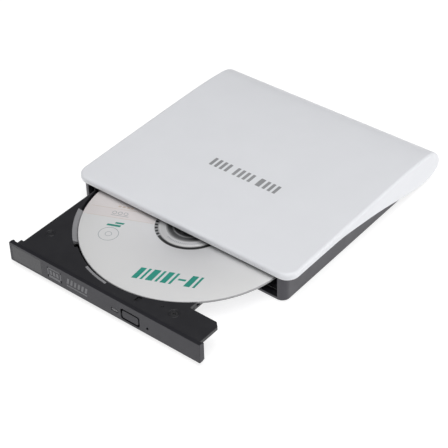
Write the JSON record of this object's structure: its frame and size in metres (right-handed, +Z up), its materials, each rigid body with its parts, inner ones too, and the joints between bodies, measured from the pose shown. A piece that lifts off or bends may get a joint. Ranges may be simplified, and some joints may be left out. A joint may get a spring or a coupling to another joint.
{
  "type": "external optical drive",
  "caption": "Slim portable disc drive with a white cover that wraps round a rounded rear spine, a dark base and a sliding front tray carrying a disc.",
  "frame": {"origin": "on the surface the feet stand on, below the middle of the length and width with the tray standing out", "axes": "+X to the right seen from the front, +Y towards the back, away from the tray's opening side, +Z up"},
  "size_m": [0.146, 0.2026, 0.021],
  "materials": {
    "white_plastic": "fine satin-gloss white shell",
    "black_plastic": "fine matte black",
    "bezel_plastic": "satin charcoal",
    "foot_rubber": "soft matte",
    "zinc_steel": "zinc plated",
    "black_steel": "black oxide",
    "board_green": "solder mask",
    "chip_black": "moulded epoxy",
    "socket_steel": "nickel plated",
    "flex_film": "polyimide film",
    "light_guide": "frosted clear",
    "grey_ramp": "satin grey",
    "disc_label": "printed pale grey label on polycarbonate",
    "lens_glass": "coated",
    "coil_copper": "enamelled winding",
    "nylon": "self-lubricating",
    "lens_blue": "moulded"
  },
  "bodies": {
    "case": {"top_cover": "white_plastic", "base_shell": "black_plastic", "rubber_feet": "foot_rubber", "case_screws": "black_steel", "bridge_board": "board_green", "bridge_chips": "chip_black", "board_screws": "zinc_steel", "usb_socket": "socket_steel", "usb_tongue": "chip_black", "sata_plug": "chip_black", "chassis_pan": "zinc_steel", "chassis_lid": "zinc_steel", "latch_pin": "zinc_steel", "drive_board": "board_green", "drive_chips": "chip_black", "sata_socket": "chip_black", "flex_cable": "flex_film", "left_guide": "nylon", "right_guide": "nylon"},
    "left_rail": {"left_slide": "zinc_steel"},
    "right_rail": {"right_slide": "zinc_steel"},
    "tray": {"tray": "black_plastic", "bezel": "bezel_plastic", "edge_ramps": "grey_ramp", "light_pipe": "light_guide", "front_board": "board_green", "eject_switch": "socket_steel", "under_cover": "black_steel", "tray_screw": "black_steel", "latch_solenoid": "coil_copper", "traverse_frame": "black_steel", "guide_rods": "socket_steel", "frame_dampers": "foot_rubber", "damper_screws": "zinc_steel", "deck_plate": "black_steel", "sled_motor": "zinc_steel", "motor_base": "zinc_steel", "stator": "coil_copper"},
    "button": {"eject_button": "bezel_plastic"},
    "latch": {"latch_lever": "nylon"},
    "sled": {"sled": "lens_blue", "focus_magnets": "zinc_steel"},
    "lens": {"lens_holder": "chip_black", "lens": "lens_glass"},
    "lead_screw": {"lead_screw": "zinc_steel"},
    "spindle": {"rotor_cup": "zinc_steel", "turntable": "black_plastic", "grip_ring": "foot_rubber", "disc": "disc_label"},
    "claw_1": {"hub_claw_1": "nylon"},
    "claw_2": {"hub_claw_2": "nylon"},
    "claw_3": {"hub_claw_3": "nylon"}
  },
  "joints": [
    {"name": "tray_slide", "type": "slide", "parent": "case", "child": "tray", "axis": [0, -1, 0], "range_m": [-0.0606, 0.07]},
    {"name": "left_rail_slide", "type": "slide", "parent": "case", "child": "left_rail", "axis": [0, -1, 0], "range_m": [-0.0304, 0.0351]},
    {"name": "right_rail_slide", "type": "slide", "parent": "case", "child": "right_rail", "axis": [0, -1, 0], "range_m": [-0.0304, 0.0351]},
    {"name": "eject_button_press", "type": "slide", "parent": "tray", "child": "button", "axis": [0, 1, 0], "range_m": [0, 0.0008], "stiffness_N_per_m": 1500},
    {"name": "latch_lever_swing", "type": "hinge", "parent": "tray", "child": "latch", "pos_m": [0.052, -0.09385, 0.0084], "axis": [0, 0, 1], "range_deg": [-15, 0]},
    {"name": "sled_slide", "type": "slide", "parent": "tray", "child": "sled", "axis": [-0.7071, -0.7071, 0], "range_m": [-0.014, 0.019]},
    {"name": "lead_screw_spin", "type": "hinge", "parent": "tray", "child": "lead_screw", "pos_m": [-0.01372, -0.07272, 0.0073], "axis": [-0.7071, -0.7071, 0], "range_deg": [-1700, 2300]},
    {"name": "lens_focus", "type": "slide", "parent": "sled", "child": "lens", "axis": [0, 0, 1], "range_m": [-0.0004, 0.0004], "stiffness_N_per_m": 60},
    {"name": "spindle_spin", "type": "hinge", "parent": "tray", "child": "spindle", "pos_m": [0.00226, -0.03213, 0.009], "axis": [0, 0, 1], "continuous": true},
    {"name": "hub_claw_1_press", "type": "slide", "parent": "spindle", "child": "claw_1", "axis": [-0.866, -0.5, 0], "range_m": [0, 0.0009], "stiffness_N_per_m": 800},
    {"name": "hub_claw_2_press", "type": "slide", "parent": "spindle", "child": "claw_2", "axis": [0.866, -0.5, 0], "range_m": [0, 0.0009], "stiffness_N_per_m": 800},
    {"name": "hub_claw_3_press", "type": "slide", "parent": "spindle", "child": "claw_3", "axis": [0, 1, 0], "range_m": [0, 0.0009], "stiffness_N_per_m": 800}
  ],
  "couplings": [
    {"joint": "left_rail_slide", "follows": "tray_slide", "ratio": 0.5},
    {"joint": "right_rail_slide", "follows": "tray_slide", "ratio": 0.5},
    {"joint": "lead_screw_spin", "follows": "sled_slide", "rad_per_m": 2094.4}
  ]
}
